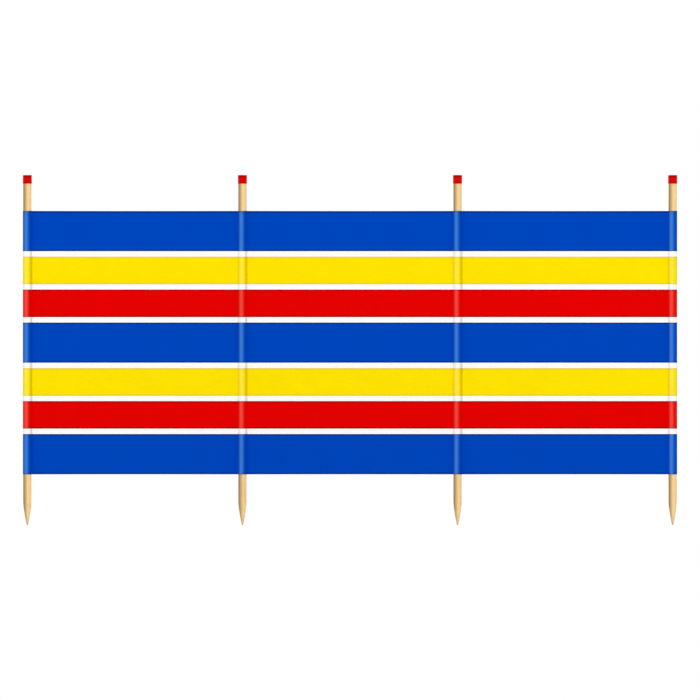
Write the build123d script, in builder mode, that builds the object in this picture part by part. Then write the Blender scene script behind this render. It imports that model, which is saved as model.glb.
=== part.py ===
from build123d import *
import os
from math import acos, asin, atan2, cos, degrees, hypot, radians, sin, sqrt

# Beach windbreak: canvas in three bays, carried by four pointed wooden poles with plastic caps.
# All sizes are in millimetres. The canvas stands in the X Z plane and runs along +X from the
# first pole, +Y points away from the side it is looked at, and +Z is up.
# The origin is on the blunt point of the first pole.

# Poles. The bare foot and the bare head are the straight wood that shows under and over the canvas.
pole_count = 4
pole_pitch = 738
pole_diameter = 28
pole_top_chamfer = 1.5
point_length = 75
point_flat_diameter = 4.5
point_bulge = 1.2
bare_foot = 100
bare_head = 96

# Caps
cap_wall = 1.6
cap_fit = 0.05
cap_depth = 26
cap_top_thickness = 3
cap_top_chamfer = 1.8
cap_rim_chamfer = 0.4

# Canvas
canvas_thickness = 0.8
canvas_height = 900
sleeve_clearance = 0.3
sleeve_flare_radius = 6
seam_clearance = 0.3
seam_flap_width = 11
seam_turn_radius = 2.5
hem_depth = 15
hem_ply_gap = 0.2

# What follows from these
pole_radius = pole_diameter / 2
pole_places = [index * pole_pitch for index in range(pole_count)]
cap_bore_radius = pole_radius + cap_fit
cap_radius = cap_bore_radius + cap_wall
cap_height = cap_depth + cap_top_thickness
canvas_foot = point_length + bare_foot
canvas_head = canvas_foot + canvas_height
cap_foot = canvas_head + bare_head
pole_length = cap_foot + cap_depth
half_canvas = canvas_thickness / 2
sleeve_bore_radius = pole_radius + sleeve_clearance
sleeve_radius = sleeve_bore_radius + canvas_thickness
hem_fold_radius = canvas_thickness + hem_ply_gap / 2

# The flare of a sleeve is an arc that runs tangent from the flat canvas on to the round sleeve.
# Its centre stands off the canvas on one side, and the mirrored arc makes the other ply.
flare_centre_y = sleeve_flare_radius + half_canvas
flare_reach = sqrt((sleeve_radius + sleeve_flare_radius) ** 2 - flare_centre_y**2)
flare_end_angle = degrees(atan2(flare_reach, flare_centre_y))
ply_join_angle = degrees(acos(flare_centre_y / (sleeve_flare_radius + canvas_thickness)))

# The flap of a seam lies round the near side of the sleeve. It turns off the sleeve along an
# arc whose centre is on the near side too, and runs on as the flat canvas of the next bay.
flap_back_radius = sleeve_radius + seam_clearance
flap_face_radius = flap_back_radius + canvas_thickness
turn_centre_y = -(seam_turn_radius + half_canvas)
turn_start_angle = degrees(asin(turn_centre_y / (flap_face_radius + seam_turn_radius)))
turn_reach = (flap_face_radius + seam_turn_radius) * cos(radians(turn_start_angle))
flap_angle = turn_start_angle - degrees(seam_flap_width / flap_face_radius)

os.makedirs("parts", exist_ok=True)


def save(piece, name):
    """Name a finished piece and write it."""
    piece.part.label = name
    export_step(piece.part, f"parts/{name}.step")


def make_pole(place):
    """A turned dowel whose point swells slightly, and ends in a small flat."""
    flat_radius = point_flat_diameter / 2
    slope_x = pole_radius - flat_radius
    slope_length = hypot(slope_x, point_length)
    bulge_x = (pole_radius + flat_radius) / 2 + point_bulge * point_length / slope_length
    bulge_z = point_length / 2 - point_bulge * slope_x / slope_length
    upright = Plane(origin=(place, 0, 0), x_dir=(1, 0, 0), z_dir=(0, -1, 0))
    with BuildPart() as pole:
        with BuildSketch(upright):
            with BuildLine():
                Line((0, 0), (flat_radius, 0))
                ThreePointArc((flat_radius, 0), (bulge_x, bulge_z), (pole_radius, point_length))
                Polyline(
                    (pole_radius, point_length),
                    (pole_radius, pole_length),
                    (0, pole_length),
                    (0, 0),
                )
            make_face()
        revolve(axis=Axis((place, 0, 0), (0, 0, 1)))
        chamfer(pole.edges().group_by(Axis.Z)[-1], length=pole_top_chamfer)
    return pole


def make_cap(place):
    """A moulded plastic cup pushed down over the top of the pole."""
    rim = Plane(origin=(place, 0, cap_foot))
    with BuildPart() as cap:
        with BuildSketch(rim):
            Circle(cap_radius)
        extrude(amount=cap_height)
        chamfer(cap.edges().group_by(Axis.Z)[-1], length=cap_top_chamfer)
        chamfer(cap.edges().group_by(Axis.Z)[0], length=cap_rim_chamfer)
        with BuildSketch(rim):
            Circle(cap_bore_radius)
        extrude(amount=cap_depth, mode=Mode.SUBTRACT)
    return cap


def flare_outline(round_radius, arc_radius, join_angle):
    """A round with its two flare arcs towards -X. Returns the two points that the arcs start from."""
    centre = (-flare_reach, flare_centre_y)
    sweep = flare_end_angle - join_angle
    near_ply = CenterArc(centre, arc_radius, -90 + join_angle, sweep)
    far_ply = mirror(near_ply, about=Plane.XZ)
    ThreePointArc(near_ply @ 1, (round_radius, 0), far_ply @ 1)
    return near_ply @ 0, far_ply @ 0


def make_sleeve(place, flared):
    """The canvas tube that a pole stands in. The flare is where a bay of canvas runs into it."""
    foot = Plane(origin=(place, 0, canvas_foot))
    with BuildPart() as sleeve:
        with BuildSketch(foot):
            Circle(sleeve_radius)
            if flared:
                with BuildLine():
                    Line(*flare_outline(sleeve_radius, sleeve_flare_radius, 0))
                make_face()
            Circle(sleeve_bore_radius, mode=Mode.SUBTRACT)
            if flared:
                with BuildLine():
                    flare_outline(
                        sleeve_bore_radius,
                        sleeve_flare_radius + canvas_thickness,
                        ply_join_angle,
                    )
                make_face(mode=Mode.SUBTRACT)
        extrude(amount=canvas_height)
    return sleeve


def seam_arcs(flap_radius, turn_radius):
    """One face of a seam: the arc of the flap and the arc of its turn, from the flap's free edge."""
    turn_centre = (turn_reach, turn_centre_y)
    flap = CenterArc((0, 0), flap_radius, flap_angle, turn_start_angle - flap_angle)
    turn = CenterArc(turn_centre, turn_radius, 180 + turn_start_angle, -90 - turn_start_angle)
    return flap @ 0, turn @ 1


def make_panel(place, right):
    """One bay of canvas. A flap along its left edge is sewn to the sleeve of the pole at place."""
    with BuildPart() as panel:
        with BuildSketch(Plane(origin=(place, 0, canvas_foot))):
            with BuildLine():
                face_edge, face_end = seam_arcs(flap_face_radius, seam_turn_radius)
                back_edge, back_end = seam_arcs(flap_back_radius, seam_turn_radius + canvas_thickness)
                Line(face_edge, back_edge)
                Line(face_end, back_end)
            make_face()
        extrude(amount=canvas_height)
        sheet_left = place + turn_reach
        with BuildSketch(Plane(origin=(sheet_left, 0, canvas_foot + hem_fold_radius))):
            Rectangle(right - sheet_left, canvas_thickness, align=(Align.MIN, Align.CENTER))
        extrude(amount=canvas_height - 2 * hem_fold_radius)
    return panel


def make_hem(left, right, edge, outward):
    """The edge of the canvas folded over to the back. Outward is 1 at the top and -1 at the foot."""
    fold_y = hem_fold_radius - half_canvas
    fold_z = edge - outward * hem_fold_radius
    ply_gap_radius = hem_ply_gap / 2
    back_y = fold_y + hem_fold_radius
    hem_end = edge - outward * hem_depth
    with BuildPart() as hem:
        with BuildSketch(Plane.YZ.offset(left)):
            with BuildLine():
                ThreePointArc((-half_canvas, fold_z), (fold_y, edge), (back_y, fold_z))
                Polyline(
                    (back_y, fold_z),
                    (back_y, hem_end),
                    (back_y - canvas_thickness, hem_end),
                    (back_y - canvas_thickness, fold_z),
                )
                ThreePointArc(
                    (fold_y + ply_gap_radius, fold_z),
                    (fold_y, fold_z + outward * ply_gap_radius),
                    (fold_y - ply_gap_radius, fold_z),
                )
                Line((fold_y - ply_gap_radius, fold_z), (-half_canvas, fold_z))
            make_face()
        extrude(amount=right - left)
    return hem


for number, place in enumerate(pole_places, start=1):
    save(make_pole(place), f"pole_{number}")
    save(make_cap(place), f"pole_cap_{number}")
    save(make_sleeve(place, flared=number > 1), f"sleeve_{number}")

for number, (place, next_place) in enumerate(zip(pole_places, pole_places[1:]), start=1):
    panel_right = next_place - flare_reach
    hem_left = place + turn_reach
    save(make_panel(place, panel_right), f"bay_panel_{number}")
    save(make_hem(hem_left, panel_right, canvas_head, 1), f"top_hem_{number}")
    save(make_hem(hem_left, panel_right, canvas_foot, -1), f"bottom_hem_{number}")
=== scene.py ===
import bmesh
import bpy
import math
import numpy as np
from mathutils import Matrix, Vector


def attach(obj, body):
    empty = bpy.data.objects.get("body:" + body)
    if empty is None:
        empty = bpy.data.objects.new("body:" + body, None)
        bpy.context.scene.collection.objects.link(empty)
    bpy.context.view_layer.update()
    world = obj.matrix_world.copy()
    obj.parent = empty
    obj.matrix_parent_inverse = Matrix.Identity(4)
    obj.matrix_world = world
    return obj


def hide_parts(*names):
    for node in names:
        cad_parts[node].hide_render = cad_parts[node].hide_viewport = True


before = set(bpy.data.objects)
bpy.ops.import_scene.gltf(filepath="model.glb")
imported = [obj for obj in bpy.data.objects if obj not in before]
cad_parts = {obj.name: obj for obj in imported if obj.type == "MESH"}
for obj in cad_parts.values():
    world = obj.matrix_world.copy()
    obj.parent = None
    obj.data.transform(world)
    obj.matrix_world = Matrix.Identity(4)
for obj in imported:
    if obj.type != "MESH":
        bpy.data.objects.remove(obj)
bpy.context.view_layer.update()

# Poles: four softwood dowels, 28 mm thick, planed round along the grain and left bare. The foot of
# each is turned to a blunt point, which shows tool rings and end grain. The canvas hides the middle.
mm = 0.001
pole_radius = 14.2
pole_length = 1197.0
point_length = 75.0
point_flat_radius = 2.25
point_bulge = 1.2
point_cut = 0.12
point_step = 0.95
shoulder_wear = 0.28
shoulder_wear_reach = 3.2
tool_ring_pitch = 2.9
tool_ring_depth = 0.11
tool_chatter = 0.07
tool_chatter_twist = 9
shaft_step = 11.5
shaft_oval = 0.035
shaft_oval_twist = 300
pole_places = [0.0, 738.0, 1476.0, 2214.0]
pole_bodies = ["bay_1", "bay_1", "bay_2", "bay_3"]
pole_sides = 52
pole_seed = 40
# The middle of the log lies outside the dowel, so the growth rings cross it as bands. Painted shade
# darkens the left side of each pole, drawn like a heartwood streak: it starts at the first place across
# the pole, is full at the second, and wanders up the pole. A darker painted line lies further left.
pith_places = [(-58.0, 31.0), (-66.0, 22.0), (-51.0, 40.0), (-62.0, -34.0)]
log_lean = np.array([0.012, -0.008, 0])
log_stretch = 700.0
shaded_side_places = (3.0, -9.0)
shade_line_places = (-8.0, -12.0)
shade_line_strength = 0.6
shade_wander = 0.6
shade_wander_length = 210.0
# Wet sand reaches up the point: a dark tip, and a faint stain above it.
stain_places = (1.0, 9.0)
faint_stain_places = (10.0, 42.0)
faint_stain_strength = 0.4


def smooth_step(low, high, value):
    """0 below low, 1 above high, and an even S between them."""
    t = np.clip((np.asarray(value, float) - low) / (high - low), 0, 1)
    return t * t * (3 - 2 * t)


def make_object(name, points, faces, sharp_angle=40):
    """A mesh object from points in mm, with its faces pointing outwards and smooth between sharp edges."""
    mesh = bpy.data.meshes.new(name)
    mesh.from_pydata((np.asarray(points, float) * mm).tolist(), [], faces)
    shell = bmesh.new()
    shell.from_mesh(mesh)
    bmesh.ops.recalc_face_normals(shell, faces=shell.faces)
    shell.to_mesh(mesh)
    shell.free()
    mesh.polygons.foreach_set("use_smooth", [True] * len(mesh.polygons))
    mesh.set_sharp_from_angle(angle=math.radians(sharp_angle))
    piece = bpy.data.objects.new(name, mesh)
    bpy.context.scene.collection.objects.link(piece)
    return piece


def turned(name, profile, place, sides, sway=None):
    """A turned piece from (radius, height) points in mm, whose first and last lie on the axis."""
    turn = np.linspace(0, 2 * math.pi, sides, endpoint=False)
    points = [(place, 0, profile[0][1])]
    for radius, height in profile[1:-1]:
        reach = np.full(sides, radius) if sway is None else sway(turn, radius, height)
        points += [(place + r * math.cos(a), r * math.sin(a), height) for r, a in zip(reach, turn)]
    points.append((place, 0, profile[-1][1]))
    after = [(side + 1) % sides for side in range(sides)]
    faces = [(0, 1 + after[side], 1 + side) for side in range(sides)]
    for ring in range(len(profile) - 3):
        low, high = 1 + ring * sides, 1 + (ring + 1) * sides
        faces += [
            (low + side, low + after[side], high + after[side], high + side) for side in range(sides)
        ]
    last = len(points) - 1
    faces += [(last, last - sides + side, last - sides + after[side]) for side in range(sides)]
    return make_object(name, points, faces)


def point_outline(height):
    """The radius of the sharpened foot at a height, with its shoulder worn round."""
    share = height / point_length
    swell = 4 * point_bulge * share * (1 - share)
    radius = point_flat_radius + (pole_radius - point_flat_radius) * share + swell
    return radius - shoulder_wear * math.exp(-((height - point_length) / shoulder_wear_reach) ** 2)


def set_attribute(piece, name, kind, values):
    """Stores one value, or one vector, for each point of a piece, for its material to read."""
    attribute = piece.data.attributes.new(name, kind, "POINT")
    part = "vector" if kind == "FLOAT_VECTOR" else "value"
    attribute.data.foreach_set(part, values.astype(np.float32).ravel())


# The outline from the tip up: the worn flat, the point in steps of a third of a tool ring, its
# shoulder, the shaft in longer steps, and the broken edge of the top.
pole_profile = [(0, 0.0), (1.55, 0.0), (2.1, 0.35)]
pole_profile += [(point_outline(h), h) for h in np.arange(1.2, point_length, point_step)]
pole_profile += [(pole_radius - point_cut, 77.0), (pole_radius - 0.02, 80.0)]
pole_profile += [(pole_radius, h) for h in np.arange(88.0, pole_length - 10, shaft_step)]
pole_profile += [(pole_radius, pole_length - 1.6), (12.5, pole_length - 0.1), (0, pole_length)]


def linear(hex_code):
    """An sRGB hex colour as the linear RGBA that Blender's sockets take."""
    parts = [int(hex_code[i : i + 2], 16) / 255 for i in (0, 2, 4)]
    return [c / 12.92 if c <= 0.04045 else ((c + 0.055) / 1.055) ** 2.4 for c in parts] + [1.0]


def add(owner, kind, inputs=None, **settings):
    """Adds a node to a material, a world or a node group. A socket, or a node for its first output,
    is linked to the input that it is given for, and any other value is set on it."""
    tree = getattr(owner, "node_tree", owner)
    node = tree.nodes.new(kind)
    for name, value in settings.items():
        setattr(node, name, value)
    for name, value in (inputs or {}).items():
        if isinstance(value, bpy.types.Node):
            value = value.outputs[0]
        if isinstance(value, bpy.types.NodeSocket):
            tree.links.new(value, node.inputs[name])
        else:
            node.inputs[name].default_value = value
    return node


def new_material(name):
    """A material with no nodes yet."""
    material = bpy.data.materials.new(name)
    material.use_nodes = True
    material.node_tree.nodes.clear()
    return material


# Bare planed pine: pale wood whose left side carries painted shade drawn like heartwood, growth
# rings that run as long soft streaks and open into ovals on the point, and open grain that takes the
# gloss away. The grain is drawn 1.1 mm apart, coarser than the real one, so that it shows at all.
pine = new_material("bare_planed_pine")
ring_spacing = 3.4 * mm
ring_waver = 2.6
ring_relief = -0.25
shade_waver = 0.7
timber = add(pine, "ShaderNodeAttribute", attribute_name="timber").outputs["Vector"]
side_shade = add(pine, "ShaderNodeAttribute", attribute_name="painted_side_shade").outputs["Fac"]
stain = add(pine, "ShaderNodeAttribute", attribute_name="stain").outputs["Fac"]
stretched = add(pine, "ShaderNodeMapping", {"Vector": timber, "Scale": (1, 1, 0.035)})
waver = add(
    pine, "ShaderNodeTexNoise", {"Vector": stretched, "Scale": 48.0, "Detail": 3.0, "Roughness": 0.5}
)
across = add(pine, "ShaderNodeVectorMath", {0: timber, 1: (1, 1, 0)}, operation="MULTIPLY")
from_pith = add(pine, "ShaderNodeVectorMath", {0: across}, operation="LENGTH").outputs["Value"]
counted = add(pine, "ShaderNodeMath", {0: from_pith, 1: ring_spacing}, operation="DIVIDE")
wavered = add(pine, "ShaderNodeMath", {0: waver, 1: ring_waver, 2: counted}, operation="MULTIPLY_ADD")
one_ring = add(pine, "ShaderNodeMath", {0: wavered}, operation="FRACT")
ring_tone = add(pine, "ShaderNodeValToRGB", {"Fac": one_ring})
ring_tone.color_ramp.elements[0].color = linear("FCDDA1")
ring_tone.color_ramp.elements[1].color = linear("FBDA9D")
for place, tone in ((0.45, "F9D595"), (0.78, "F0C785"), (0.9, "E8BA74"), (0.97, "F5D090")):
    ring_tone.color_ramp.elements.new(place).color = linear(tone)
pores = add(
    pine, "ShaderNodeTexNoise", {"Vector": stretched, "Scale": 900.0, "Detail": 4.0, "Roughness": 0.65}
)
pore_tone = add(
    pine,
    "ShaderNodeMapRange",
    {"Value": pores, "From Min": 0.3, "From Max": 0.72, "To Min": 0.9, "To Max": 1.05},
)
# The painted shade on the left has a soft edge, and a darker painted line further out down that side.
side_shade_edge = add(pine, "ShaderNodeMath", {0: waver, 1: shade_waver, 2: side_shade}, operation="MULTIPLY_ADD")
side_shade_share = add(
    pine,
    "ShaderNodeMapRange",
    {"Value": side_shade_edge, "From Min": 0.4, "From Max": 1.25, "To Min": 0.0, "To Max": 1.0},
)
side_shaded = add(
    pine,
    "ShaderNodeMix",
    {0: side_shade_share, 6: ring_tone, 7: linear("CBC4B8")},
    data_type="RGBA",
    blend_type="MULTIPLY",
)
shade_line_share = add(
    pine,
    "ShaderNodeMapRange",
    {"Value": side_shade_edge, "From Min": 1.35, "From Max": 1.85, "To Min": 0.0, "To Max": 1.0},
)
line_shaded = add(
    pine,
    "ShaderNodeMix",
    {0: shade_line_share, 6: side_shaded.outputs[2], 7: linear("D4D4CE")},
    data_type="RGBA",
    blend_type="MULTIPLY",
)
grained = add(
    pine, "ShaderNodeVectorMath", {0: line_shaded.outputs[2], "Scale": pore_tone}, operation="SCALE"
)
# Wet sand has stained the tip greenish grey, most in its open pores.
stain_share = add(pine, "ShaderNodeMath", {0: stain, 1: pores}, operation="MULTIPLY")
stained = add(
    pine, "ShaderNodeMix", {0: stain_share, 6: grained, 7: linear("8C885C")}, data_type="RGBA"
)
pine_gloss = add(
    pine,
    "ShaderNodeMapRange",
    {"Value": pores, "From Min": 0.3, "From Max": 0.7, "To Min": 0.62, "To Max": 0.5},
)
pine_height = add(
    pine, "ShaderNodeMath", {0: one_ring, 1: ring_relief, 2: pores}, operation="MULTIPLY_ADD"
)
pine_shader = add(
    pine,
    "ShaderNodeBsdfPrincipled",
    {
        "Base Color": stained.outputs[2],
        "Roughness": pine_gloss,
        "Normal": add(
            pine, "ShaderNodeBump", {"Height": pine_height, "Strength": 0.35, "Distance": 0.2 * mm}
        ),
        "Specular IOR Level": 0.3,
    },
)
add(pine, "ShaderNodeOutputMaterial", {"Surface": pine_shader})

for number, (place, body) in enumerate(zip(pole_places, pole_bodies), start=1):
    draw = np.random.default_rng(pole_seed + number)
    phase = draw.uniform(0, 2 * math.pi, 4)

    def planed(turn, radius, height):
        """The radius round the pole: barely oval on the shaft, and ringed by the tool on the point."""
        if height > point_length + 1:
            oval = shaft_oval * np.sin(2 * turn + phase[0] + height / shaft_oval_twist) - shaft_oval
            return radius + oval
        ring = tool_ring_depth * math.sin(2 * math.pi * height / tool_ring_pitch + phase[1])
        chatter = tool_chatter * np.sin(5 * turn + phase[2] + height / tool_chatter_twist)
        return radius + (ring + chatter) * smooth_step(0, 8, height) - point_cut

    pole = turned(f"pine_pole_{number}", pole_profile, place, pole_sides, planed)
    local = np.empty(len(pole.data.vertices) * 3, np.float32)
    pole.data.vertices.foreach_get("co", local)
    local = local.reshape(-1, 3) - [place * mm, 0, 0]
    pith = np.array([*pith_places[number - 1], log_stretch * number]) * mm
    set_attribute(pole, "timber", "FLOAT_VECTOR", local - pith + local[:, 2:] * log_lean)
    height = local[:, 2] / mm
    # Painted shade on the left side of the pole, with a darker painted line further left.
    shade_x = local[:, 0] / mm + shade_wander * np.sin(height / shade_wander_length + phase[3])
    shade_line = shade_line_strength * smooth_step(*shade_line_places, shade_x)
    set_attribute(pole, "painted_side_shade", "FLOAT", smooth_step(*shaded_side_places, shade_x) + shade_line)
    faint_stain = faint_stain_strength * (1 - smooth_step(*faint_stain_places, height))
    set_attribute(pole, "stain", "FLOAT", 1 - smooth_step(*stain_places, height) + faint_stain)
    pole.data.materials.append(pine)
    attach(pole, body)
    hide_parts(f"pole_{number}")

# Caps: moulded plastic cups pushed down over the pole tops. The mould leaves a rounded shoulder, a
# slightly domed top with a gate dimple in its middle, a little draft and a rolled rim.
cap_foot = 1171.0
cap_height = 29.5
cap_radius = 15.95
cap_bore_radius = 14.26
cap_depth = 26.0
cap_shoulder = 2.2
cap_draft = 0.006
wall_stand = 0.08
neck_stand = 0.16
shoulder_stand = 0.24
rim_roll = 0.45
rim_height = 0.9
dome_rise = 0.3
cap_sides = 64
cap_top = cap_foot + cap_height
bore_top = cap_foot + cap_depth
# The outline from the top of the bore down its wall, round the rim, and up the outside to the dimple.
cap_profile = [(0, bore_top), (8.0, bore_top), (cap_bore_radius - 0.4, bore_top)]
cap_profile.append((cap_bore_radius, bore_top - 0.5))
cap_profile += [(cap_bore_radius, cap_foot + height) for height in (18.0, 9.0, 3.0, 0.8)]
cap_profile += [(cap_bore_radius + 0.18, cap_foot + 0.25), (cap_bore_radius + 0.45, cap_foot)]
for angle in range(-90, 91, 30):
    roll = math.radians(angle)
    rim_radius = cap_radius - rim_roll + rim_roll * math.cos(roll)
    cap_profile.append((rim_radius, cap_foot + rim_height + rim_height * math.sin(roll)))
cap_profile.append((cap_radius - neck_stand, cap_foot + 2.2))
for height in (3.2, 8.0, 14.0, 20.0, 25.0):
    cap_profile.append((cap_radius - wall_stand - cap_draft * height, cap_foot + height))
shoulder_radius = cap_radius - shoulder_stand - cap_shoulder
shoulder_foot = cap_top - dome_rise - cap_shoulder
for angle in np.linspace(0, 90, 9):
    roll = math.radians(angle)
    shoulder_reach = shoulder_radius + cap_shoulder * math.cos(roll)
    cap_profile.append((shoulder_reach, shoulder_foot + cap_shoulder * math.sin(roll)))
cap_profile += [(10.0, cap_top - 0.14), (6.0, cap_top - 0.03), (2.2, cap_top), (1.7, cap_top - 0.06)]
cap_profile += [(1.45, cap_top - 0.4), (0.6, cap_top - 0.45), (0, cap_top - 0.3)]

# Injection-moulded polypropylene in signal red: glossy, with the faint orange peel of the mould, 1.5 mm
# across, and rub marks of 6 mm that show most in the gloss.
plastic = new_material("moulded_polypropylene_red")
plastic_place = add(plastic, "ShaderNodeTexCoord").outputs["Object"]
mould_peel = add(
    plastic,
    "ShaderNodeTexNoise",
    {"Vector": plastic_place, "Scale": 650.0, "Detail": 2.0, "Roughness": 0.5},
)
rub = add(
    plastic,
    "ShaderNodeTexNoise",
    {"Vector": plastic_place, "Scale": 160.0, "Detail": 5.0, "Roughness": 0.7, "Distortion": 0.4},
)
plastic_tone = add(plastic, "ShaderNodeValToRGB", {"Fac": rub})
plastic_tone.color_ramp.elements[0].position = 0.25
plastic_tone.color_ramp.elements[0].color = linear("D20403")
plastic_tone.color_ramp.elements[1].position = 0.8
plastic_tone.color_ramp.elements[1].color = linear("DF0605")
# The cap's colour carries painted shade: it is darker from 7 mm under the top of the bore upward,
# and in a band just above the rim. The flat top is less darkened.
plastic_height = add(plastic, "ShaderNodeSeparateXYZ", {0: plastic_place}).outputs["Z"]
shaded_cap_colour = plastic_tone
for low, high, low_tone, high_tone in (
    (bore_top - 7.0, bore_top, 1.0, 0.5),
    (cap_foot + 2.5, cap_foot + 7.5, 0.64, 1.0),
    (cap_top - 0.7, cap_top - 0.15, 1.0, 1.5),
):
    painted_shade_tone = add(
        plastic,
        "ShaderNodeMapRange",
        {
            "Value": plastic_height,
            "From Min": low * mm,
            "From Max": high * mm,
            "To Min": low_tone,
            "To Max": high_tone,
        },
    )
    shaded_cap_colour = add(
        plastic, "ShaderNodeVectorMath", {0: shaded_cap_colour, "Scale": painted_shade_tone}, operation="SCALE"
    )
plastic_gloss = add(
    plastic,
    "ShaderNodeMapRange",
    {"Value": rub, "From Min": 0.35, "From Max": 0.75, "To Min": 0.26, "To Max": 0.4},
)
plastic_shader = add(
    plastic,
    "ShaderNodeBsdfPrincipled",
    {
        "Base Color": shaded_cap_colour,
        "Roughness": plastic_gloss,
        "Normal": add(
            plastic, "ShaderNodeBump", {"Height": mould_peel, "Strength": 0.12, "Distance": 0.1 * mm}
        ),
        "Specular IOR Level": 0.12,
        "Specular Tint": linear("FF4038"),
    },
)
add(plastic, "ShaderNodeOutputMaterial", {"Surface": plastic_shader})

for number, (place, body) in enumerate(zip(pole_places, pole_bodies), start=1):
    cap = turned(f"moulded_cap_{number}", cap_profile, place, cap_sides)
    cap.data.materials.append(plastic)
    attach(cap, body)
    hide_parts(f"pole_cap_{number}")

# Canvas: each bay is one strip of woven cloth, hemmed along its top and foot. Its left edge is a flap
# sewn round the sleeve of the pole before. Its right end goes round the next pole as that pole's
# sleeve, and back on itself behind, where two rows of stitches close it.
cloth = 0.5
hem_gap = 0.05
hem_depth = 15.0
hem_row = 12.0
hem_fold_steps = 7
canvas_foot = 173.6
canvas_head = 1076.8
canvas_middle = 625.0
half_canvas = 450.0
face_y = -0.4
sleeve_face = 15.4
sleeve_steps = 45
first_sleeve_start = -5
flare_radius = 6.0
flare_steps = 7
flare_reach = 20.1
flap_face = 16.48
flap_bulge = 0.4
flap_turn_radius = 1.2
flap_width = 13.0
turn_steps = 7
tail_offset = 0.68
tail_bulge = 1.12
row_spacing = 5.0
panel_columns = 100
# Places up the cloth from its edge, and across it from the edge of a flap, from a seam, and from the
# end of a flare. The rows of stitches lie on some of them.
hem_places = (4.0, 8.0, hem_row)
past_hem = 16.0
panel_inset = 20
flap_places = (0.0, 1.0, 2.4, 4.2, 6.0, 7.8, 9.6, 11.6)
flap_rows = (2.4, 9.6)
seam_places = (1.5, 5.5, 10.5, 15.0, 20.0, 26.0)
past_seam = 32
tail_places = (0.0, 1.5, 5.5, 7.2, 9.0)
tail_rows = (1.5, 5.5)
# How far in from an edge a hem pushes the cloth out in full, and where that ends.
hem_bulge_places = (18.0, 45.0)
# Slack: the length and the size of each wave, and for the puckers their size, how far they reach, and
# the spacing of their ripple, which wanders. Then how far from a seam both are full, and how far the
# top and the foot draw in between two poles.
slack_seed = 70
slack_waves = ((640, 0.9), (380, 0.7), (230, 0.35))
seam_pucker, seam_pucker_reach = 0.2, 13
seam_ripple = {"spacing": 5.1, "wander": 1.6, "wander_length": 47}
hem_pucker, hem_pucker_reach = 0.22, 11
hem_ripple = {"spacing": 6.1, "wander": 1.8, "wander_length": 61}
full_waves, full_puckers = 70, 9
edge_draw = 0.4
turn_centre_y = face_y - flap_turn_radius
turn_reach = math.sqrt((flap_face + flap_turn_radius) ** 2 - turn_centre_y**2)
pole_pitch = pole_places[1] - pole_places[0]
sleeve_limit = sleeve_face + 0.2


def hem_closeness(height):
    """1 in a hem, falling to 0 a few centimetres inside it, at a height in mm."""
    from_edge = min(height - canvas_foot, canvas_head - height)
    return 1 - float(smooth_step(*hem_bulge_places, from_edge))


def flap_radius(height):
    """The radius of the face of a flap. The hems inside it push it out."""
    return flap_face + flap_bulge * hem_closeness(height)


def tail_face(height):
    """How far behind the canvas the face of a sleeve's tail lies. The hems inside it push it out."""
    return tail_offset + tail_bulge * hem_closeness(height)


def round_run(start, end, radius, steps, centre=(0.0, 0.0), hollow=False):
    """Points and face normals along an arc, angles in radians. In a hollow arc the face is inside."""
    turn = np.linspace(start, end, steps)
    ray = np.stack([np.cos(turn), np.sin(turn)], 1)
    return np.array(centre) + radius * ray, (-ray if hollow else ray)


def flat_run(places, y, side):
    """Points and face normals along a straight run at these places in X. The side is that of its face."""
    return np.stack([places, np.full(len(places), y)], 1), np.tile([0.0, side], (len(places), 1))


def flare_x(centre_y):
    """How far from its pole the centre of a flare lies, when it stands this far off in Y."""
    return math.sqrt((sleeve_face + flare_radius) ** 2 - centre_y**2)


def sleeve_run(height):
    """The right end of a bay, with its pole at x 0: flare, round sleeve, far flare and tail."""
    near_y = face_y - flare_radius
    near_x = -flare_x(near_y)
    near_turn = math.atan2(-near_y, -near_x)
    far_y = tail_face(height) + flare_radius
    far_x = -flare_x(far_y)
    far_turn = math.atan2(far_y, -far_x)
    tail_x = [far_x - place for place in tail_places]
    return [
        round_run(math.pi / 2, near_turn, flare_radius, flare_steps, (near_x, near_y), hollow=True),
        round_run(near_turn - math.pi, math.pi - far_turn, sleeve_face, sleeve_steps),
        round_run(-far_turn, -math.pi / 2, flare_radius, flare_steps, (far_x, far_y), hollow=True),
        flat_run(tail_x, tail_face(height), 1.0),
    ]


def bay_run(height, left, right):
    """The whole strip of a bay at a height, from the free edge of its flap to that of its tail."""
    radius = flap_radius(height)
    turn_start = math.asin(turn_centre_y / (radius + flap_turn_radius))
    turn_x = (radius + flap_turn_radius) * math.cos(turn_start)
    flap_angles = [turn_start + (place - flap_width) / radius for place in flap_places]
    flap_ray = np.stack([np.cos(flap_angles), np.sin(flap_angles)], 1)
    turn_arc = (math.pi + turn_start, math.pi / 2, flap_turn_radius, turn_steps)
    seam = [(radius * flap_ray, flap_ray), round_run(*turn_arc, (turn_x, turn_centre_y), hollow=True)]
    flat_left, flat_right = left + turn_x, right - flare_x(face_y - flare_radius)
    middle = np.linspace(flat_left + past_seam, flat_right - past_seam, panel_columns)
    near_left = [flat_left + place for place in seam_places]
    near_right = [flat_right - place for place in seam_places[::-1]]
    parts = [(points + [left, 0], normals) for points, normals in seam]
    parts.append(flat_run([*near_left, *middle, *near_right], face_y, -1.0))
    return parts + [(points + [right, 0], normals) for points, normals in sleeve_run(height)]


def first_sleeve_run(height):
    """The strip round the first pole, from under the flap, round the left, to a tail behind the bay."""
    far_y = tail_face(height) + flare_radius
    far_x = flare_x(far_y)
    far_turn = math.atan2(far_y, far_x)
    tail_x = [far_x + place for place in tail_places]
    start = math.radians(first_sleeve_start)
    flare = (math.pi + far_turn, math.pi * 1.5, flare_radius, flare_steps)
    return [
        round_run(start, far_turn - 2 * math.pi, sleeve_face, sleeve_steps + 1),
        round_run(*flare, (far_x, far_y), hollow=True),
        flat_run(tail_x, tail_face(height), 1.0),
    ]


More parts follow.
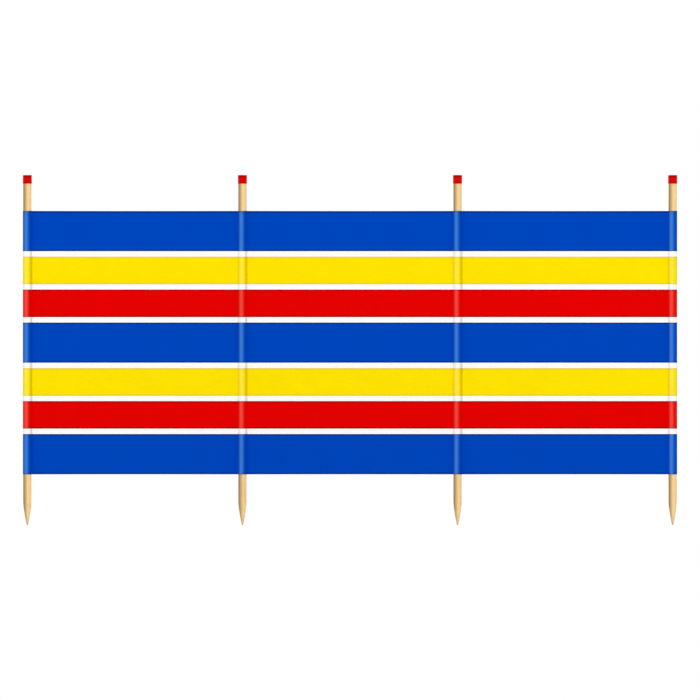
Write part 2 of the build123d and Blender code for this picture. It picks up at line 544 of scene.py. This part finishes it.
def joined(parts):
    """One run from several, without the points that two of them share."""
    same_place = 0.01
    points, normals = [parts[0][0]], [parts[0][1]]
    for part_points, part_normals in parts[1:]:
        skip = 1 if np.linalg.norm(part_points[0] - points[-1][-1]) < same_place else 0
        points.append(part_points[skip:])
        normals.append(part_normals[skip:])
    return np.concatenate(points), np.concatenate(normals)


def hemmed_rows():
    """The strip's rows from hem edge to hem edge: height, depth behind the face, and fold angle."""
    ply = cloth + hem_gap
    half_ply = ply / 2
    rows = []
    for place in (hem_depth, *hem_places[::-1]):
        rows.append((canvas_foot + place, cloth / 2 + ply, -math.pi))
    for turn in np.linspace(math.pi, 0, hem_fold_steps):
        depth = cloth / 2 + half_ply - half_ply * math.cos(turn)
        rows.append((canvas_foot + half_ply * (1 - math.sin(turn)), depth, -turn))
    rows += [(canvas_foot + place, cloth / 2, 0.0) for place in (*hem_places, past_hem)]
    at_head = [(canvas_foot + canvas_head - height, depth, -turn) for height, depth, turn in rows[::-1]]
    low, high = canvas_foot + panel_inset, canvas_head - panel_inset
    middle = np.linspace(low, high, int((high - low) / row_spacing))
    return rows + [(height, cloth / 2, 0.0) for height in middle] + at_head


def ripple(distance, phases, spacing, wander, wander_length):
    """A wave from -1 to 1 along a distance in mm, whose spacing wanders slowly."""
    return np.sin(distance / spacing + phases[0] + wander * np.sin(distance / wander_length + phases[1]))


def slack(along, height, left, right, seed):
    """How far the stretched cloth stands off its plane in mm: long soft waves, and puckers at its seams."""
    draw = np.random.default_rng(seed)
    from_seam = np.minimum(along - left - turn_reach, right - flare_reach - along)
    from_edge = min(height - canvas_foot, canvas_head - height)
    waves = np.zeros_like(along)
    for length, size in slack_waves:
        tilt, phase, fade = draw.uniform(-0.5, 0.5), draw.uniform(0, 6.3), draw.uniform(0, 6.3)
        wave = np.sin(2 * math.pi * (along + tilt * height) / length + phase)
        waves += size * wave * (0.7 + 0.3 * math.sin(height / 140 + fade))
    up, sideways = draw.uniform(0, 6.3, 2), draw.uniform(0, 6.3, 2)
    at_seam = seam_pucker * np.exp(-from_seam / seam_pucker_reach)
    at_hem = hem_pucker * math.exp(-abs(from_edge - hem_row) / hem_pucker_reach)
    puckers = at_seam * ripple(height, up, **seam_ripple) + at_hem * ripple(along, sideways, **hem_ripple)
    return waves * smooth_step(0, full_waves, from_seam) + puckers * smooth_step(0, full_puckers, from_seam)


def edge_sag(along, height, left, right):
    """How far the edges of the stretched cloth draw in towards its middle in mm, between two poles."""
    share = np.clip((along - left) / (right - left), 0, 1)
    return -edge_draw * 4 * share * (1 - share) * (height - canvas_middle) / half_canvas


def sheet_grids(run, left=None, right=None, seed=0):
    """The two faces of a hemmed strip as grids of points, with its normals and the cloth's own measure."""
    faces, backs, outward, lengths = [], [], [], []
    rows = hemmed_rows()
    for height, depth, fold in rows:
        points, normals = joined(run(height))
        middle = np.column_stack([points - normals * depth, np.full(len(points), height)])
        facing = np.column_stack([normals * math.cos(fold), np.full(len(points), math.sin(fold))])
        if left is not None:
            middle[:, 1] += slack(points[:, 0], height, left, right, seed)
            middle[:, 2] += edge_sag(points[:, 0], height, left, right)
        faces.append(middle + facing * cloth / 2)
        backs.append(middle - facing * cloth / 2)
        outward.append(facing)
        lengths.append(np.concatenate([[0], np.cumsum(np.linalg.norm(np.diff(points, axis=0), axis=1))]))
    return np.array(faces), np.array(backs), np.array(outward), np.array(lengths), rows


def local_x(grid):
    """How far points lie along X from the axis of the nearest pole, in mm."""
    return (grid[..., 0] + pole_pitch / 2) % pole_pitch - pole_pitch / 2


def sleeve_highlight(turn, radius):
    """How strong the painted highlight on a sleeve's face is, where the cloth is also smoother: most where
    it faces 17 degrees left of the near side.
    """
    most, left_reach, right_reach = -107, 38, 33
    reach = np.where(turn < most, left_reach, right_reach)
    return np.exp(-(((turn - most) / reach) ** 2)) * (radius < sleeve_limit)


def make_sheet(name, grids):
    """A closed thin mesh from the two faces of a strip, with a UV map in metres along the cloth."""
    faces_grid, backs_grid, outward, lengths, rows = grids
    high, wide = faces_grid.shape[:2]
    points = np.concatenate([faces_grid.reshape(-1, 3), backs_grid.reshape(-1, 3)])
    front = np.arange(high * wide).reshape(high, wide)
    back = front + high * wide
    quads = []
    for grid, order in ((front, 1), (back, -1)):
        corners = [grid[:-1, :-1], grid[:-1, 1:], grid[1:, 1:], grid[1:, :-1]][::order]
        quads.append(np.stack([c.ravel() for c in corners], 1))
    rim = np.concatenate([front[0, :], front[1:, -1], front[-1, -2::-1], front[-2:0:-1, 0]])
    rim_after = np.roll(rim, -1)
    quads.append(np.stack([rim_after, rim, rim + high * wide, rim_after + high * wide], 1))
    piece = make_object(name, points, np.concatenate(quads).tolist(), sharp_angle=55)
    steps_up = np.diff([(height, depth) for height, depth, _ in rows], axis=0)
    up_cloth = np.concatenate([[0], np.cumsum(np.hypot(*steps_up.T))])
    measure = np.stack([lengths, np.repeat(up_cloth[:, None], wide, 1)], 2).reshape(-1, 2) * mm
    measure = np.concatenate([measure, measure])
    corner_points = np.empty(len(piece.data.loops), np.int32)
    piece.data.loops.foreach_get("vertex_index", corner_points)
    along_cloth = piece.data.uv_layers.new(name="along_cloth")
    along_cloth.data.foreach_set("uv", measure[corner_points].astype(np.float32).ravel())
    # A flap is told by its distance from the pole's axis and by the way that it faces, in degrees.
    flap_slip, flap_turns = 0.3, (-60, -5)
    turn = np.degrees(np.arctan2(outward[..., 1], outward[..., 0])).ravel()
    radius = np.hypot(local_x(faces_grid), faces_grid[..., 1]).ravel()
    from_flap = abs(radius - np.repeat([flap_radius(height) for height, _, _ in rows], wide))
    on_flap = (from_flap < flap_slip) & (turn > flap_turns[0]) & (turn < flap_turns[1])
    # These attributes carry the painted highlight on the sleeves, and the painted shade and light on the
    # flaps.
    for attribute, values in (("highlight_and_gloss", sleeve_highlight(turn, radius)), ("flap_shading", on_flap)):
        set_attribute(piece, attribute, "FLOAT", np.concatenate([values, values]))
    return piece


# Yarn-dyed canvas: a plain weave whose bands of colour are woven in, so they show on both sides. Each
# coloured band ends in a few darker yarns beside the narrow white line. The yarns are drawn 0.9 mm
# apart, coarser than the real 0.5 mm, so that the weave shows at all. Widths are in mm from the top.
canvas = new_material("yarn_dyed_acrylic_canvas")
yarns = [("blue", 137.9), ("white", 18.6), ("yellow", 95.0), ("white", 17.9)]
yarns += [("red", 94.8), ("white", 18.4)]
yarn_colours = {"blue": "0045BB", "yellow": "FDE202", "red": "E20300", "white": "FDFDFB"}
border_yarns = {
    "blue": ("043083", "033EA2"),
    "yellow": ("E8CE2A", "F4D916"),
    "red": ("AC0606", "CC0404"),
}
border_width = 3.2
dark_top_edge = 5.8
top_band_loss = 0.1
foot_margin = 0.6
head_margin = 0.1
yarn_pitch = 0.9 * mm
beat_unevenness = 0.4 * mm
yarn_fullness = 0.6
warp_rise = 0.35
slub_rise = 0.8
# The painted highlight on a sleeve: how far it mixes towards white, and how much smoother it makes the
# cloth.
highlight_fade = 0.26
highlight_smoothing = -0.2


def woven_bands(material, height):
    """The colour of the yarn at a height in metres: each band in turn, with darker yarns at its borders.
    The height is held inside the cloth, so that its folded edges keep the colour of their band."""
    lowest, highest = (canvas_foot + foot_margin) * mm, (canvas_head - head_margin) * mm
    on_cloth = add(material, "ShaderNodeClamp", {"Value": height, "Min": lowest, "Max": highest})
    below_head = add(
        material,
        "ShaderNodeMath",
        {0: (canvas_head + top_band_loss) * mm, 1: on_cloth},
        operation="SUBTRACT",
    )
    in_repeat = add(
        material,
        "ShaderNodeMath",
        {0: below_head, 1: sum(size for _, size in yarns) * mm},
        operation="FLOORED_MODULO",
    )
    starts = []
    reached = 0.0
    for colour, size in yarns:
        inner = 0.0
        for border in border_yarns.get(colour, ()):
            starts.append((reached + inner, border))
            starts.append((reached + size - inner - border_width, border))
            inner += border_width
        starts.append((reached + inner, yarn_colours[colour]))
        reached += size
    starts.sort()
    tone = linear(yarn_colours["blue"])
    for start, colour in starts:
        past = add(material, "ShaderNodeMath", {0: in_repeat, 1: start * mm}, operation="GREATER_THAN")
        mixed = add(material, "ShaderNodeMix", {0: past, 6: tone, 7: linear(colour)}, data_type="RGBA")
        tone = mixed.outputs[2]
    # The top 5.8 mm of the cloth is darker, in the darkest blue border yarn.
    in_dark_top_edge = add(
        material, "ShaderNodeMath", {0: below_head, 1: dark_top_edge * mm}, operation="LESS_THAN"
    )
    darkened = linear(border_yarns["blue"][0])
    mixed = add(material, "ShaderNodeMix", {0: in_dark_top_edge, 6: tone, 7: darkened}, data_type="RGBA")
    return mixed.outputs[2]


# The weft yarns are beaten up a little unevenly, which frays the borders of the bands. Slubs 2 mm
# thick run along the yarns, and the dye lies in soft clouds 110 mm across.
canvas_uv = add(canvas, "ShaderNodeUVMap", uv_map="along_cloth").outputs[0]
canvas_place = add(canvas, "ShaderNodeTexCoord").outputs["Object"]
height_on_cloth = add(canvas, "ShaderNodeSeparateXYZ", {0: canvas_place}).outputs["Z"]
yarn_step = add(canvas, "ShaderNodeTexNoise", {"Vector": canvas_uv, "Scale": 420.0, "Detail": 1.0})
centred = add(canvas, "ShaderNodeMath", {0: yarn_step, 1: 0.5}, operation="SUBTRACT")
beaten = add(
    canvas,
    "ShaderNodeMath",
    {0: centred, 1: beat_unevenness, 2: height_on_cloth},
    operation="MULTIPLY_ADD",
)
bands = woven_bands(canvas, beaten)
along_weft = add(canvas, "ShaderNodeMapping", {"Vector": canvas_uv, "Scale": (0.06, 1, 1)})
slubs = add(
    canvas, "ShaderNodeTexNoise", {"Vector": along_weft, "Scale": 520.0, "Detail": 3.0, "Roughness": 0.6}
)
dye = add(
    canvas, "ShaderNodeTexNoise", {"Vector": canvas_place, "Scale": 9.0, "Detail": 3.0, "Roughness": 0.55}
)
slub_tone, canvas_gloss = (
    add(
        canvas,
        "ShaderNodeMapRange",
        {"Value": slubs, "From Min": 0.3, "From Max": 0.7, "To Min": low, "To Max": high},
    )
    for low, high in ((0.955, 1.03), (0.6, 0.5))
)
dye_tone = add(
    canvas,
    "ShaderNodeMapRange",
    {"Value": dye, "From Min": 0.3, "From Max": 0.7, "To Min": 0.98, "To Max": 1.015},
)
# Plain weave: a warp yarn stands up where it passes over a weft yarn, and the next one beside it dips.
measured = add(canvas, "ShaderNodeSeparateXYZ", {0: canvas_uv})
yarn_waves = []
for axis in ("X", "Y"):
    yarn_turn = add(
        canvas,
        "ShaderNodeMath",
        {0: measured.outputs[axis], 1: math.pi / yarn_pitch},
        operation="MULTIPLY",
    )
    yarn_waves.append(add(canvas, "ShaderNodeMath", {0: yarn_turn}, operation="SINE"))
crossing = add(canvas, "ShaderNodeMath", {0: yarn_waves[0], 1: yarn_waves[1]}, operation="MULTIPLY")
yarn_height = add(canvas, "ShaderNodeMath", {0: crossing}, operation="ABSOLUTE")
yarn_round = add(canvas, "ShaderNodeMath", {0: yarn_height, 1: yarn_fullness}, operation="POWER")
yarn_over = add(
    canvas, "ShaderNodeMath", {0: crossing, 1: warp_rise, 2: yarn_round}, operation="MULTIPLY_ADD"
)
# Painted shade darkens the gaps between the yarns.
gap_shade = add(
    canvas,
    "ShaderNodeMapRange",
    {"Value": yarn_round, "From Min": 0.0, "From Max": 0.55, "To Min": 0.8, "To Max": 1.02},
)
tones = add(canvas, "ShaderNodeMath", {0: slub_tone, 1: dye_tone}, operation="MULTIPLY")
woven_tone = add(canvas, "ShaderNodeMath", {0: tones, 1: gap_shade}, operation="MULTIPLY")
# A flap carries painted shade, darker in the pale bands, and painted light, a little lighter in
# the dark bands. The painted highlight on a sleeve also lifts the dark bands.
flap_shading = add(canvas, "ShaderNodeAttribute", attribute_name="flap_shading").outputs["Fac"]
paleness = add(canvas, "ShaderNodeRGBToBW", {0: bands})
flap_shade_change, highlight_change = (
    add(
        canvas,
        "ShaderNodeMapRange",
        {"Value": paleness, "From Min": 0.0, "From Max": 0.7, "To Min": 0.14, "To Max": in_pale},
    )
    for in_pale in (-0.16, -0.03)
)
flap_shade_tone = add(canvas, "ShaderNodeMath", {0: flap_shading, 1: flap_shade_change, 2: 1.0}, operation="MULTIPLY_ADD")
cloth_tone = add(canvas, "ShaderNodeMath", {0: woven_tone, 1: flap_shade_tone}, operation="MULTIPLY")
woven_colour = add(canvas, "ShaderNodeVectorMath", {0: bands, "Scale": cloth_tone}, operation="SCALE")
# The cloth over the near side of a pole carries a painted highlight, mixed towards white, and is
# smoother there. The white is mixed as the eye sees it, by gamma. The gloss of acrylic yarn takes on the
# colour of the yarn.
highlight_and_gloss = add(canvas, "ShaderNodeAttribute", attribute_name="highlight_and_gloss").outputs["Fac"]
highlight_share = add(canvas, "ShaderNodeMath", {0: highlight_and_gloss, 1: highlight_fade}, operation="MULTIPLY")
highlight_gain = add(
    canvas, "ShaderNodeMath", {0: highlight_and_gloss, 1: highlight_change, 2: 1.0}, operation="MULTIPLY_ADD"
)
brightened = add(
    canvas, "ShaderNodeVectorMath", {0: woven_colour, "Scale": highlight_gain}, operation="SCALE"
)
eye_gamma = 2.2
as_seen = add(canvas, "ShaderNodeGamma", {0: brightened, 1: 1 / eye_gamma})
whitened = add(
    canvas,
    "ShaderNodeMix",
    {0: highlight_share, 6: as_seen, 7: linear("FFFFFF")},
    data_type="RGBA",
    clamp_result=True,
)
highlighted_colour = add(canvas, "ShaderNodeGamma", {0: whitened.outputs[2], 1: eye_gamma})
highlight_gloss = add(
    canvas,
    "ShaderNodeMath",
    {0: highlight_and_gloss, 1: highlight_smoothing, 2: canvas_gloss},
    operation="MULTIPLY_ADD",
)
slub_height = add(
    canvas, "ShaderNodeMath", {0: slubs, 1: slub_rise, 2: yarn_over}, operation="MULTIPLY_ADD"
)
canvas_shader = add(
    canvas,
    "ShaderNodeBsdfPrincipled",
    {
        "Base Color": highlighted_colour,
        "Specular Tint": highlighted_colour,
        "Roughness": highlight_gloss,
        "Normal": add(
            canvas, "ShaderNodeBump", {"Height": slub_height, "Strength": 0.5, "Distance": 0.12 * mm}
        ),
        "Specular IOR Level": 0.15,
    },
)
add(canvas, "ShaderNodeOutputMaterial", {"Surface": canvas_shader})

bay_names = ["bay_1", "bay_2", "bay_3"]
bay_grids = {}
for number, body in enumerate(bay_names, start=1):
    left, right = pole_places[number - 1 : number + 1]
    seed = slack_seed + number
    grids = sheet_grids(lambda height: bay_run(height, left, right), left, right, seed)
    sheet = make_sheet(f"bay_cloth_{number}", grids)
    sheet.data.materials.append(canvas)
    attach(sheet, body)
    hems = (f"top_hem_{number}", f"bottom_hem_{number}")
    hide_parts(f"bay_panel_{number}", f"sleeve_{number + 1}", *hems)
    bay_grids[number] = grids

first_grids = sheet_grids(first_sleeve_run)
first_sleeve = make_sheet("sleeve_cloth_1", first_grids)
first_sleeve.data.materials.append(canvas)
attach(first_sleeve, "bay_1")
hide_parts("sleeve_1")

# Stitches: lockstitch in clear nylon thread, which takes the colour of the band under it. One row
# closes each hem, and two rows close each flap and each tail. Every stitch is a short arch whose ends
# go down into the cloth. The thread's drawing marks are 0.6 mm apart, as fine as can show.
stitch_pitch = 4.2 * mm
stitch_length = 3.2 * mm
thread_width = 0.4 * mm
stitch_rise = 0.3 * mm
stitch_seed = 5
# A row up the cloth stops short of its edges, and one on the panel lies clear of the flap. The row in
# the back of a hem stops short of the seams. A flap covers the sleeve between these angles in degrees.
row_inset = 3
row_clear_of_flap = 0.8
hem_back_clear_of_pole = 36
covered_turns = (-58, 14)
fewest_row_points = 4
thread = new_material("clear_nylon_thread")
thread_place = add(thread, "ShaderNodeTexCoord").outputs["Object"]
thread_height = add(thread, "ShaderNodeSeparateXYZ", {0: thread_place}).outputs["Z"]
drawn = add(
    thread,
    "ShaderNodeTexNoise",
    {"Vector": thread_place, "Scale": 1800.0, "Detail": 2.0, "Roughness": 0.5},
)
thread_tone, thread_gloss = (
    add(
        thread,
        "ShaderNodeMapRange",
        {"Value": drawn, "From Min": 0.3, "From Max": 0.7, "To Min": low, "To Max": high},
    )
    for low, high in ((0.82, 0.95), (0.22, 0.36))
)
under = woven_bands(thread, thread_height)
seen_through = add(thread, "ShaderNodeVectorMath", {0: under, "Scale": thread_tone}, operation="SCALE")
thread_shader = add(
    thread,
    "ShaderNodeBsdfPrincipled",
    {"Base Color": seen_through, "Specular Tint": seen_through, "Roughness": thread_gloss},
)
add(thread, "ShaderNodeOutputMaterial", {"Surface": thread_shader})


def stitch_tree():
    """Geometry nodes that lay stitches along edges, each turned to the edge's way and its facing."""
    tree = bpy.data.node_groups.new("lockstitch_row", "GeometryNodeTree")
    tree.interface.new_socket("Geometry", in_out="INPUT", socket_type="NodeSocketGeometry")
    for name in ("Pitch", "Stitch Length", "Thread Width", "Rise"):
        tree.interface.new_socket(name, in_out="INPUT", socket_type="NodeSocketFloat")
    tree.interface.new_socket("Seed", in_out="INPUT", socket_type="NodeSocketInt")
    tree.interface.new_socket("Thread", in_out="INPUT", socket_type="NodeSocketMaterial")
    tree.interface.new_socket("Geometry", in_out="OUTPUT", socket_type="NodeSocketGeometry")
    asked = add(tree, "NodeGroupInput").outputs
    rows = add(tree, "GeometryNodeMeshToCurve", {"Mesh": asked["Geometry"]})
    spaced = add(
        tree, "GeometryNodeResampleCurve", {"Curve": rows, "Length": asked["Pitch"]}, mode="LENGTH"
    )
    # One stitch: an arch along X whose ends lie in the cloth, swept by a six-sided thread.
    half = add(tree, "ShaderNodeMath", {0: asked["Stitch Length"], 1: 0.5}, operation="MULTIPLY")
    minus_half = add(tree, "ShaderNodeMath", {0: asked["Stitch Length"], 1: -0.5}, operation="MULTIPLY")
    sink = add(tree, "ShaderNodeMath", {0: asked["Thread Width"], 1: -0.55}, operation="MULTIPLY")
    crown = add(tree, "ShaderNodeMath", {0: asked["Rise"], 1: 2.0, 2: sink}, operation="MULTIPLY_ADD")
    crown_height = add(tree, "ShaderNodeMath", {0: crown, 1: 0.1 * mm}, operation="ADD")
    arch = add(
        tree,
        "GeometryNodeCurveQuadraticBezier",
        {
            "Resolution": 4,
            "Start": add(tree, "ShaderNodeCombineXYZ", {"X": minus_half, "Z": sink}),
            "Middle": add(tree, "ShaderNodeCombineXYZ", {"Z": crown_height}),
            "End": add(tree, "ShaderNodeCombineXYZ", {"X": half, "Z": sink}),
        },
    )
    thread_half = add(tree, "ShaderNodeMath", {0: asked["Thread Width"], 1: 0.5}, operation="MULTIPLY")
    section = add(tree, "GeometryNodeCurvePrimitiveCircle", {"Resolution": 6, "Radius": thread_half})
    stitch = add(
        tree, "GeometryNodeCurveToMesh", {"Curve": arch, "Profile Curve": section, "Fill Caps": True}
    )
    facing = add(tree, "GeometryNodeInputNamedAttribute", {"Name": "facing"}, data_type="FLOAT_VECTOR")
    way = add(tree, "GeometryNodeInputTangent")
    laid = add(tree, "FunctionNodeAlignRotationToVector", {"Vector": way}, axis="X")
    upright = add(
        tree,
        "FunctionNodeAlignRotationToVector",
        {"Rotation": laid, "Vector": facing},
        axis="Z",
        pivot_axis="X",
    )
    # No two stitches lie or pull quite alike: they differ by a few hundredths of a radian and in size.
    skew = add(
        tree,
        "FunctionNodeRandomValue",
        {"Min": (-0.02, -0.03, -0.07), "Max": (0.02, 0.03, 0.07), "Seed": asked["Seed"]},
        data_type="FLOAT_VECTOR",
    )
    skewed = add(
        tree,
        "FunctionNodeRotateRotation",
        {"Rotation": upright, "Rotate By": skew},
        rotation_space="LOCAL",
    )
    size = add(
        tree,
        "FunctionNodeRandomValue",
        {"Min": (0.93, 0.95, 0.95), "Max": (1.05, 1.05, 1.05), "Seed": asked["Seed"]},
        data_type="FLOAT_VECTOR",
    )
    sewn = add(
        tree,
        "GeometryNodeInstanceOnPoints",
        {"Points": spaced, "Instance": stitch, "Rotation": skewed, "Scale": size},
    )
    real = add(tree, "GeometryNodeRealizeInstances", {"Geometry": sewn})
    coloured = add(tree, "GeometryNodeSetMaterial", {"Geometry": real, "Material": asked["Thread"]})
    add(tree, "NodeGroupOutput", {"Geometry": coloured})
    return tree


def sewing_rows(grids, first_sheet):
    """The rows of stitches on a strip, as runs of points with the way that each faces."""
    faces_grid, _, outward, _, rows = grids
    middle, flat = faces_grid[len(rows) // 2], outward[len(rows) // 2]
    heights, folds = np.array([row[0] for row in rows]), np.array([row[2] for row in rows])
    pole_x = pole_pitch * round(middle[-1, 0] / pole_pitch)
    turn = np.degrees(np.arctan2(middle[:, 1], middle[:, 0] - pole_x))
    radius = np.hypot(middle[:, 0] - pole_x, middle[:, 1])
    facing_near = np.isclose(flat[:, 1], -1)
    unfolded = np.flatnonzero(folds == 0)
    folded = np.flatnonzero(np.isclose(abs(folds), math.pi))
    from_edge = np.minimum(heights - canvas_foot, canvas_head - heights)
    upright = unfolded[from_edge[unfolded] > row_inset]
    columns = [len(middle) - len(tail_places) + tail_places.index(place) for place in tail_rows]
    if not first_sheet:
        on_panel = np.flatnonzero(facing_near & (radius > flap_face + row_clear_of_flap))
        columns += [on_panel[np.argmin(abs(middle[on_panel, 0] - middle[c, 0]))] for c in columns]
        columns += [flap_places.index(place) for place in flap_rows]
    runs = [(faces_grid[upright, column], outward[upright, column]) for column in columns]
    # The row of a hem leaves out the sleeve under a flap, the free edges, and the turn of the flap.
    has_flap_over = pole_x < pole_places[-1]
    covered = (turn > covered_turns[0]) & (turn < covered_turns[1]) & has_flap_over
    left_bare = (radius < sleeve_limit) & covered
    left_bare[-1] = True
    if not first_sheet:
        left_bare[:2] = True
        left_bare[len(flap_places) : len(flap_places) + turn_steps] = True
    changes = np.flatnonzero(np.diff(left_bare.astype(int))) + 1
    for target in (canvas_foot + hem_row, canvas_head - hem_row):
        row = unfolded[np.argmin(abs(heights[unfolded] - target))]
        for run in np.split(np.arange(len(middle)), changes):
            if not left_bare[run[0]] and len(run) >= fewest_row_points:
                runs.append((faces_grid[row, run], outward[row, run]))
        if not first_sheet:
            row = folded[np.argmin(abs(heights[folded] - target))]
            panel = np.flatnonzero(facing_near & (radius > hem_back_clear_of_pole))
            runs.append((faces_grid[row, panel], outward[row, panel]))
    return runs


lockstitch = stitch_tree()
for number, body in enumerate(bay_names, start=1):
    runs = sewing_rows(bay_grids[number], first_sheet=False)
    if number == 1:
        runs += sewing_rows(first_grids, first_sheet=True)
    lines = []
    first = 0
    for points, _ in runs:
        lines += [(i, i + 1) for i in range(first, first + len(points) - 1)]
        first += len(points)
    guide = bpy.data.meshes.new(f"stitch_guide_{number}")
    guide.from_pydata((np.concatenate([points for points, _ in runs]) * mm).tolist(), lines, [])
    guide_object = bpy.data.objects.new(f"stitch_guide_{number}", guide)
    set_attribute(guide_object, "facing", "FLOAT_VECTOR", np.concatenate([facing for _, facing in runs]))
    bpy.context.scene.collection.objects.link(guide_object)
    sewing = guide_object.modifiers.new("sewing", "NODES")
    sewing.node_group = lockstitch
    asked = {
        "Pitch": stitch_pitch,
        "Stitch Length": stitch_length,
        "Thread Width": thread_width,
        "Rise": stitch_rise,
        "Seed": stitch_seed + number,
        "Thread": thread,
    }
    for item in lockstitch.interface.items_tree:
        if item.in_out == "INPUT" and item.name in asked:
            sewing[item.identifier] = asked[item.name]
    evaluated = guide_object.evaluated_get(bpy.context.evaluated_depsgraph_get())
    stitch_mesh = bpy.data.meshes.new_from_object(evaluated)
    stitch_mesh.name = f"stitches_{number}"
    bpy.data.objects.remove(guide_object)
    stitches = bpy.data.objects.new(f"stitches_{number}", stitch_mesh)
    bpy.context.scene.collection.objects.link(stitches)
    stitch_mesh.polygons.foreach_set("use_smooth", [True] * len(stitch_mesh.polygons))
    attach(stitches, body)

# The stage: a plain pale floor under the points, and soft even studio light. The stronger lamp is in
# front, 20 degrees up, and a softer one is behind. The camera looks straight at the canvas without
# perspective, as the photograph does, and sees 2.4 m of it across.
floor_points = [(-9000, -9000, 0), (11000, -9000, 0), (11000, 9000, 0), (-9000, 9000, 0)]
floor = make_object("floor", floor_points, [(0, 1, 2, 3)])
floor_paint = new_material("matt_floor_paint")
floor_shader = add(
    floor_paint, "ShaderNodeBsdfPrincipled", {"Base Color": linear("FBFBF9"), "Roughness": 0.9}
)
add(floor_paint, "ShaderNodeOutputMaterial", {"Surface": floor_shader})
floor.data.materials.append(floor_paint)


def lamp(name, azimuth, elevation, strength, softness):
    """A soft lamp far away, angles in degrees. Azimuth 0 is at the camera, and turns to the right."""
    data = bpy.data.lights.new(name, "SUN")
    data.energy = strength
    data.angle = math.radians(softness)
    light = bpy.data.objects.new(name, data)
    a, e = math.radians(azimuth), math.radians(elevation)
    towards = Vector((math.sin(a) * math.cos(e), -math.cos(a) * math.cos(e), math.sin(e)))
    light.rotation_euler = towards.to_track_quat("Z", "Y").to_euler()
    bpy.context.scene.collection.objects.link(light)


lamp("front_lamp", azimuth=0, elevation=20, strength=1.345, softness=60)
lamp("back_lamp", azimuth=172, elevation=30, strength=1.2, softness=80)

# The world lights the cloth softly, and is plain white where it is seen, mirrored or looked through.
world = bpy.data.worlds.new("studio")
bpy.context.scene.world = world
world.use_nodes = True
world.node_tree.nodes.clear()
soft_light = add(world, "ShaderNodeBackground", {"Color": linear("FFFFFF"), "Strength": 0.555})
white = add(world, "ShaderNodeBackground", {"Color": linear("FFFFFF"), "Strength": 1.0})
path = add(world, "ShaderNodeLightPath").outputs
seen = add(
    world, "ShaderNodeMath", {0: path["Is Camera Ray"], 1: path["Is Glossy Ray"]}, operation="MAXIMUM"
)
seen_at_all = add(world, "ShaderNodeMath", {0: seen, 1: path["Is Transmission Ray"]}, operation="MAXIMUM")
either = add(world, "ShaderNodeMixShader", {0: seen_at_all, 1: soft_light, 2: white})
add(world, "ShaderNodeOutputWorld", {"Surface": either})

camera_data = bpy.data.cameras.new("camera")
camera_data.type = "ORTHO"
camera_data.ortho_scale = 2.4015
camera_data.clip_end = 100
camera = bpy.data.objects.new("camera", camera_data)
camera.location = (1.107, -6.0, 0.6)
camera.rotation_euler = (math.pi / 2, 0, 0)
bpy.context.scene.collection.objects.link(camera)
bpy.context.scene.camera = camera
bpy.context.scene.view_settings.view_transform = "Standard"
